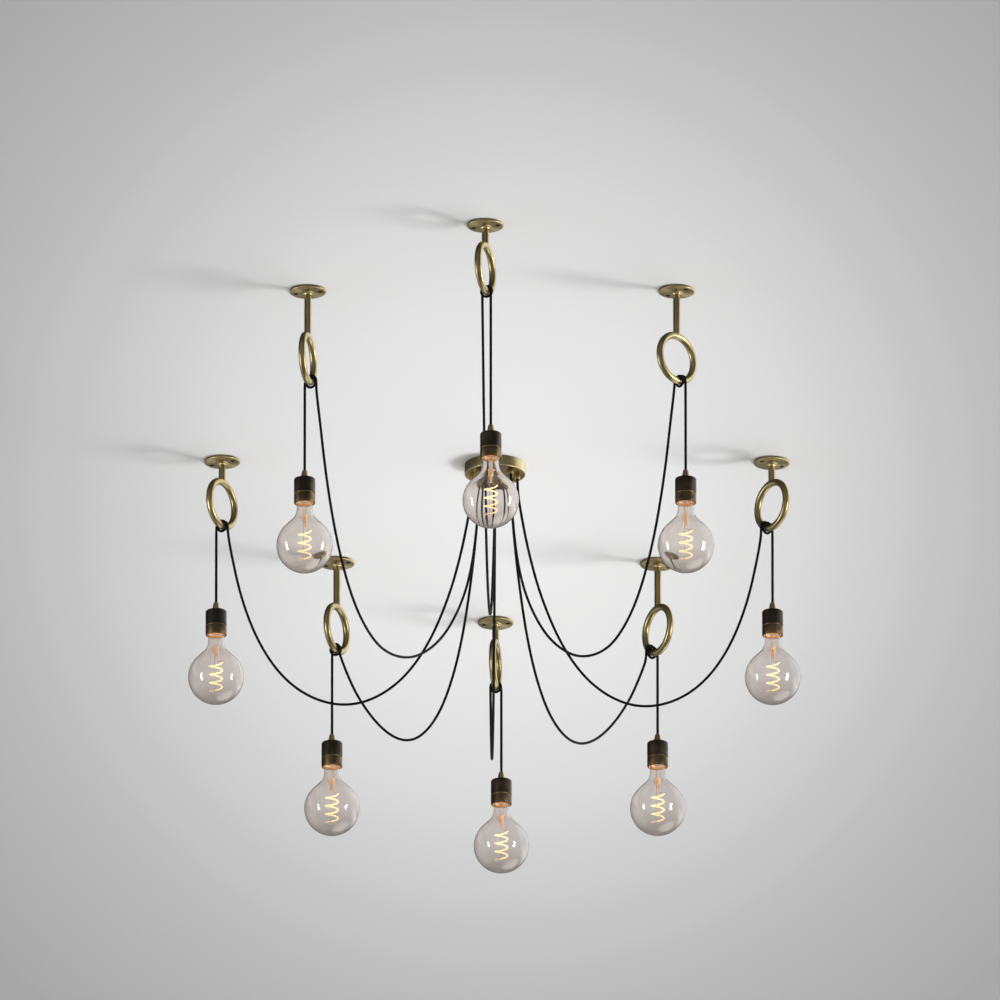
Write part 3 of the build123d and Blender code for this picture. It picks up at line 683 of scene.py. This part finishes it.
def drill(piece, spots):
    """Cut a countersunk hole at each spot; its walls get the second finish, as painted shade."""
    for spot in spots:
        tool_mesh = bpy.data.meshes.new("drill")
        tool_shape = spin_profile(spot, drill_profile, steps=32, closed=False)
        tool_shape.to_mesh(tool_mesh)
        tool_shape.free()
        tool = bpy.data.objects.new("drill", tool_mesh)
        scene.collection.objects.link(tool)
        cut = piece.modifiers.new("hole", "BOOLEAN")
        cut.operation = "DIFFERENCE"
        cut.solver = "EXACT"
        cut.object = tool
        graph = bpy.context.evaluated_depsgraph_get()
        drilled = bpy.data.meshes.new_from_object(piece.evaluated_get(graph), depsgraph=graph)
        piece.modifiers.clear()
        piece.data = drilled
        bpy.data.objects.remove(tool)
        # The walls of the hole get the second finish: painted shade.
        for face in piece.data.polygons:
            near = math.hypot(face.center.x - spot.x, face.center.y - spot.y) < sink_radius * MM
            if near and abs(face.normal.z) < level_enough:
                face.material_index = 1
    piece.data.set_sharp_from_angle(angle=sharp_angle)


def hook_spot(arm):
    """Place on the ceiling plane above an arm's hook."""
    return Vector((arm.hook_x * MM, arm.hook_y * MM, 0))


def ring_ways(arm):
    """Directions along the plane of an arm's ring and square to it."""
    turn = math.radians(arm.ring_turn)
    return Vector((math.cos(turn), math.sin(turn), 0)), Vector((-math.sin(turn), math.cos(turn), 0))


for number, arm in enumerate(arms, start=1):
    spot = hook_spot(arm)
    _, across = ring_ways(arm)
    disc = spin_profile(spot, plate_profile, steps=72, closed=False)
    plate = add_piece(f"hook_plate_{number}", disc, plate_brass, "chandelier", "hook_plates")
    # The second finish, dark bronze, is painted shade on the walls of the holes.
    plate.data.materials.append(dark_bronze_and_hole_shade)
    drill(plate, [spot + across * (side * hole_from_middle) for side in (-1, 1)])
print("plates drilled")

# %% Rods and rings
ring_radius = 40 * MM
bar_radius = 6 * MM
ring_map_width = 3
rod_end_above_ring = 40.5
rod_foot_radius = 5.98
rod_foot_height = 8
for number, arm in enumerate(arms, start=1):
    spot = hook_spot(arm)
    along, across = ring_ways(arm)
    ring_middle = spot - Vector((0, 0, arm.ring_depth * MM))
    rod_end = -arm.ring_depth + rod_end_above_ring
    rod_profile = [
        (0, rod_end), (rod_foot_radius, rod_end), (rod_foot_radius, rod_end + rod_foot_height),
        (6, -20), (6, -9), (4, -9), (4, -3.2), (0, -3.2),
    ]
    rod = spin_profile(spot, rod_profile, steps=40, closed=False)
    add_piece(f"hook_rod_{number}", rod, hook_brass, "chandelier", "hook_rods")
    ring = bmesh.new()
    bmesh.ops.create_circle(ring, segments=28, radius=bar_radius)
    bmesh.ops.translate(ring, verts=ring.verts[:], vec=ring_middle + along * ring_radius)
    bmesh.ops.spin(ring, geom=ring.verts[:] + ring.edges[:], cent=ring_middle, axis=across,
                   angle=math.tau, steps=96, use_merge=True, use_duplicate=False)
    bmesh.ops.remove_doubles(ring, verts=ring.verts[:], dist=same_place)
    bmesh.ops.recalc_face_normals(ring, faces=ring.faces[:])
    layer = ring.loops.layers.uv.new("turning")
    for face in ring.faces:
        for corner in face.loops:
            angles = []
            for place in (face.calc_center_median(), corner.vert.co):
                arm_out = place - ring_middle
                in_plane = arm_out - across * arm_out.dot(across)
                angles.append((math.atan2(in_plane.z, in_plane.dot(along)),
                               math.atan2(arm_out.dot(across), in_plane.length - ring_radius)))
            (ring_face, bar_face), (ring_here, bar_here) = angles
            ring_turns = near_angle(ring_here, ring_face) / math.tau
            corner[layer].uv = (ring_turns * ring_map_width, near_angle(bar_here, bar_face) * bar_radius)
    add_piece(f"hook_ring_{number}", ring, hook_brass, "chandelier", "hook_rings")
print("rods and rings done")

# %% [markdown]
# ## The cords
# Each swag is one cord from the canopy to its ring and one and a half times round it. Its line is a smooth
# NURBS spline led by a list of control points: the hanging line of its arm, then six corners for each
# turn round the bar. A round bevel on that spline makes the tube, and the tube's map gets its real
# length, so the braid keeps its scale. The drop is the rest of the same cord, a piece of its own that runs
# straight down from below the ring to the lampholder. On the real lamp it swings with the lamp.

# %% Routes
cord_diameter = 4.5 * MM
wrap_radius = 8.85 * MM
wrap_pitch = 6 * MM
wrap_turns = 1.5
corners_per_turn = 6
swing_below_bar = 12 * MM
swag_start = 7.9 * MM
joint_overlap = 2.55 * MM


def bar_place(arm, place):
    """Middle of the ring's bar, low on the ring, at a distance along from its middle."""
    along, _ = ring_ways(arm)
    depth = arm.ring_depth * MM + math.sqrt(ring_radius**2 - place**2)
    return Vector((arm.hook_x * MM, arm.hook_y * MM, -depth)) + along * place


def round_turn(arm):
    """Control points of the cord round the ring."""
    _, across = ring_ways(arm)
    corner_radius = wrap_radius / math.cos(math.pi / corners_per_turn)
    points = []
    for corner in range(round(wrap_turns * corners_per_turn)):
        turns = (corner + 0.5) / corners_per_turn
        place = arm.wrap_place * MM + arm.wrap_lay * (wrap_turns * wrap_pitch / 2 - turns * wrap_pitch)
        steepness = ring_radius / math.sqrt(ring_radius**2 - place**2)
        sideways = arm.swag_side * corner_radius * math.cos(math.tau * turns)
        upward = corner_radius * steepness * math.sin(math.tau * turns)
        points.append(bar_place(arm, place) + across * sideways + Vector((0, 0, upward)))
    return points


def swing_point(arm):
    """Point below the ring about which the lamp swings."""
    _, across = ring_ways(arm)
    bar = bar_place(arm, arm.wrap_place * MM - arm.wrap_lay * wrap_turns * wrap_pitch / 2)
    return bar - across * (arm.swag_side * wrap_radius) - Vector((0, 0, swing_below_bar))


def swag_route(arm):
    """Control points of a swag, from inside the canopy to the end of the round turn."""
    grip = grip_spot(arm)
    wrap = round_turn(arm)
    reach = Vector((wrap[0].x, wrap[0].y, 0)) - grip
    hanging = [grip + reach * (percent / 100) - Vector((0, 0, depth * MM)) for percent, depth in arm.line]
    tail = swing_point(arm) + Vector((0, 0, joint_overlap))
    return [grip - Vector((0, 0, swag_start))] + hanging + wrap + [tail]


print("routes ready for", len(arms), "swags")


# %% Tubes
def draw_line(name, places, order=None):
    """A line along a list of places: smooth if it has an order, straight between them if not."""
    curve = bpy.data.curves.new(name, "CURVE")
    curve.dimensions = "3D"
    spline = curve.splines.new("NURBS" if order else "POLY")
    spline.points.add(len(places) - 1)
    for dot, place in zip(spline.points, places):
        dot.co = (*place, 1)
    if order:
        spline.order_u = order
        spline.use_endpoint_u = True
    line = bpy.data.objects.new(name + "_line", curve)
    scene.collection.objects.link(line)
    return line


def hang_piece(name, mesh, finish):
    """A smooth object from a mesh, with one finish. It hangs, so it throws no shadow."""
    for face in mesh.polygons:
        face.use_smooth = True
    mesh.materials.clear()
    mesh.materials.append(finish)
    piece = bpy.data.objects.new(name, mesh)
    piece.visible_shadow = False
    scene.collection.objects.link(piece)
    return piece


def cord_tube(name, route):
    """A smooth round tube along a route with its map in metres and turns, its points, and its length."""
    line = draw_line(name, route, order=3)
    curve = line.data
    curve.resolution_u = 10
    bare = bpy.data.meshes.new_from_object(line)
    path = [vert.co.copy() for vert in bare.vertices]
    run_on = [0.0]
    for here, there in zip(path, path[1:]):
        run_on.append(run_on[-1] + (there - here).length)
    curve.bevel_depth = cord_diameter / 2
    curve.bevel_resolution = 4
    curve.use_fill_caps = True
    tube = bpy.data.meshes.new_from_object(line)
    bpy.data.objects.remove(line)
    for corner in tube.uv_layers[0].data:
        corner.uv = (run_on[round(corner.uv[0] * (len(path) - 1))], corner.uv[1])
    return tube, path, run_on[-1]


def braided(name, route):
    """A braided cord piece along a route, and its length."""
    tube, path, length = cord_tube(name, route)
    tube.name = name
    piece = hang_piece(name, tube, braid)
    return piece, length


print("tubes ready")

# %% Swags and drops
holder_grip = 5
straight_top = 27 * MM
straight_end = 40 * MM
swing_points = []
for number, arm in enumerate(arms, start=1):
    swag, swag_length = braided(f"swag_cord_{number}", swag_route(arm))
    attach(swag, "chandelier")
    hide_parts(f"cord_swag_{number}")
    pivot = swing_point(arm)
    swing_points.append(pivot)
    holder_end = Vector((pivot.x, pivot.y, (-arm.holder_depth - holder_grip) * MM))
    drop_route = [pivot + Vector((0, 0, joint_overlap)), pivot - Vector((0, 0, straight_top)),
                  holder_end + Vector((0, 0, straight_end)), holder_end]
    drop, drop_length = braided(f"drop_cord_{number}", drop_route)
    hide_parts(f"cord_drop_{number}")
    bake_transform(drop)
    print(f"arm {number}: swag {swag_length:.3f} m, drop {drop_length:.3f} m")

# %% [markdown]
# ## The lampholders
# A lampholder is a turned barrel with a collar screwed on under it and a porcelain insert inside. A narrow
# groove between barrel and collar shows the brass of the thread. The brass relief on top grips the cord.
# All of it is lathe work, so each piece is a profile, measured from the top of the barrel.

# %% Barrels, collars and inserts
barrel_profile = [
    (5.05, 0), (10, 0), *arc_corners(15, -3, 3, 90, 0, 6), (18, -10), (18, -20), (18, -26.6), (17.6, -27),
    (16.25, -27), (16.25, -34.6), (15.3, -34.6), (15.3, -3), (5.05, -3),
]
collar_profile = [
    (16.35, -28.6), (17.6, -28.6), (18, -29), (18, -36), (18, -43.5),
    *arc_corners(16.5, -43.5, 1.5, 0, -90, 4)[1:],
    (14.9, -45), (14.6, -44.7), (14.6, -41), (16.35, -41),
]
insert_profile = [(0, -7), (15.2, -7), (15.2, -41), (14, -41), (14, -9), (0, -9)]
relief_profile = [
    (2.4, -6), (5, -6), (5, 0), (5.8, 0), (5.8, 6.8), (5.7, 7.3), (4.9, 10.9), (4.15, 14.1),
    (3.9, 14.6), (3.4, 14.8), (2.4, 14.8),
]
nut_profile = [(5.05, -6), (8, -6), (8, -3), (5.05, -3)]
shell_profile = [(13.45, -9), (13.95, -9), (13.95, -33), (13.45, -33)]
contact_profile = [(0, -9), (4, -9), (4, -10.4), (0, -10.4)]
groove_level = -26.9
collar_glow_reach = 14.7
holder_tops = []


def paint_glow_inside(piece, spot, reach):
    """Give faces nearer than a reach, in millimetres, to an upright line a glowing finish: painted light."""
    piece.data.materials.append(cap_painted_glow)
    for face in piece.data.polygons:
        if math.hypot(face.center.x - spot.x, face.center.y - spot.y) < reach * MM:
            face.material_index = 1


for number, arm in enumerate(arms, start=1):
    pivot = swing_points[number - 1]
    top = Vector((pivot.x, pivot.y, -arm.holder_depth * MM))
    holder_tops.append(top)
    body, node = f"pendant_{number}", f"lampholder_{number}"
    barrel = add_piece(
        f"barrel_{number}", spin_profile(top, barrel_profile), dark_bronze_and_hole_shade, body, node)
    barrel.data.materials.append(fitting_brass_and_recess_shade)
    for face in barrel.data.polygons:
        if face.center.z < top.z + groove_level * MM:
            face.material_index = 1
    collar = add_piece(
        f"collar_{number}", spin_profile(top, collar_profile), collar_bronze, body, node)
    # The inside of the collar glows: painted light.
    paint_glow_inside(collar, top, collar_glow_reach)
    insert = spin_profile(top, insert_profile, closed=False)
    add_piece(f"socket_insert_{number}", insert, porcelain, body, node)
    for name, profile, steps, closed in (
        ("cord_relief", relief_profile, 40, True), ("nipple_nut", nut_profile, 6, True),
        ("screw_shell", shell_profile, 64, True), ("contact", contact_profile, 32, False),
    ):
        turned = spin_profile(top, profile, steps, closed)
        add_piece(f"{name}_{number}", turned, fitting_brass_and_recess_shade, body, f"holder_brass_{number}")
print("lampholders done")

# %% [markdown]
# ## The bulbs
# The globe is blown glass with a real wall: its profile goes up the outside and comes back down the inside,
# so light bends as it does in a bulb. The shoulder leaves the sphere at forty-five degrees and curves into
# the neck. Inside it are the stem, two thin wires and the filament, an open coil that glows. The coil is
# half as deep as it is wide, so that its turns show as a zigzag, as they do in the picture.

# %% Profiles of globe, stem and cap
globe_below_top = 119.97
glass_wall = 1
shoulder_radius = 28
shoulder_middle = (41.4, 65.37)
neck_radius = 12.2
neck_end = 87.97


def globe_side(inset):
    """Profile of one side of the glass about the globe's middle, from the bottom to the end of the neck."""
    return [*arc_corners(0, 0, globe_radius - inset, -90, 45, 30),
            *arc_corners(*shoulder_middle, shoulder_radius + inset, 225, 180, 10),
            (neck_radius - inset, neck_end)]


globe_profile = globe_side(0) + globe_side(glass_wall)[::-1]
press_end = 43
press_top = 54
stem_profile = [
    (0, 32), (1.8, 32), (2.2, 32.4), (2.2, press_end), *arc_corners(3, 44.5, 1.5, -90, 0, 4), (4.5, 53.4),
    (4.1, press_top), (3.5, press_top), (3.5, 77.97), (5.8, 81.4), (8.4, 84.8), (11, neck_end), (0, neck_end),
]
cap_profile = [(12.7, -38), (13.1, -38), (13.1, -16), (0, -16), (0, -16.4), (12.7, -16.4)]
insulator_profile = [(0, -16), (8, -16), (5, -13.6), (0, -13.6)]
button_profile = [(0, -13.6), (4.5, -13.6), (4.5, -10.7), (0, -10.7)]
cap_glow_reach = 12.9
print("bulb profiles ready")

# %% Filament and wires
filament_diameter = 2.3 * MM
coil_radius = 10.8 * MM
coil_half_depth = 5.4 * MM
coil_top = 27 * MM
coil_pitch = 15 * MM
coil_turns = 3.5
places_per_turn = 24
coil_tail = Vector((0, 1.8 * MM, 0))
wire_diameter = 1.2 * MM
wire_from_middle = 2.2
wire_in_front = -2.5
wire_reach = 11.6
wire_levels = ((1, 27.4), (-1, -25.9))


def bent_wire(name, places, diameter, finish, number, order=None):
    """A round wire through a list of places, on a bulb."""
    line = draw_line(name, places, order)
    curve = line.data
    curve.resolution_u = 4
    curve.bevel_depth = diameter / 2
    curve.bevel_resolution = 3
    curve.use_fill_caps = True
    mesh = bpy.data.meshes.new_from_object(line)
    bpy.data.objects.remove(line)
    piece = hang_piece(name, mesh, finish)
    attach(piece, f"bulb_{number}")
    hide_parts(f"bulb_base_{number}")


def add_filament(number, middle):
    """The coil in a bulb, and the two wires that carry it."""
    coil = []
    for step in range(round(coil_turns * places_per_turn) + 1):
        turns = step / places_per_turn
        angle = math.tau * turns
        coil.append(middle + Vector((coil_radius * math.cos(angle), coil_half_depth * math.sin(angle),
                                     coil_top - coil_pitch * turns)))
    coil = [coil[0] - coil_tail, *coil, coil[-1] - coil_tail]
    bent_wire(f"filament_{number}", coil, filament_diameter, glowing_wire, number, order=4)
    for side, level in wire_levels:
        corners = [(wire_from_middle, press_end), (wire_from_middle, level), (wire_reach, level)]
        places = [middle + Vector((side * x, wire_in_front, z)) * MM for x, z in corners]
        bent_wire(f"support_wire_{side + 2}_{number}", places, wire_diameter, plated_steel, number)


print("coil of", coil_turns, "turns ready")

# %% Bulbs
for number, top in enumerate(holder_tops, start=1):
    middle = top - Vector((0, 0, globe_below_top * MM))
    body = f"bulb_{number}"
    globe = spin_profile(middle, globe_profile, steps=80, closed=False)
    lay_height_map(globe, middle)
    add_piece(f"globe_{number}", globe, globe_glass, body, f"bulb_glass_{number}")
    stem_shape = spin_profile(middle, stem_profile, steps=32, closed=False)
    stem = add_piece(f"stem_{number}", stem_shape, stem_glass, body, f"bulb_glass_{number}")
    # The press of the stem takes the glowing finish: painted light.
    stem.data.materials.append(press_painted_glow)
    for face in stem.data.polygons:
        face.material_index = int(face.center.z < middle.z + press_top * MM)
    for name, profile in (("cap", cap_profile), ("insulator", insulator_profile), ("button", button_profile)):
        turned = spin_profile(top, profile, steps=48, closed=name == "cap")
        metal = add_piece(f"bulb_{name}_{number}", turned, plated_steel, body, f"bulb_base_{number}")
        if name == "cap":
            paint_glow_inside(metal, top, cap_glow_reach)
    add_filament(number, middle)
print("bulbs done")
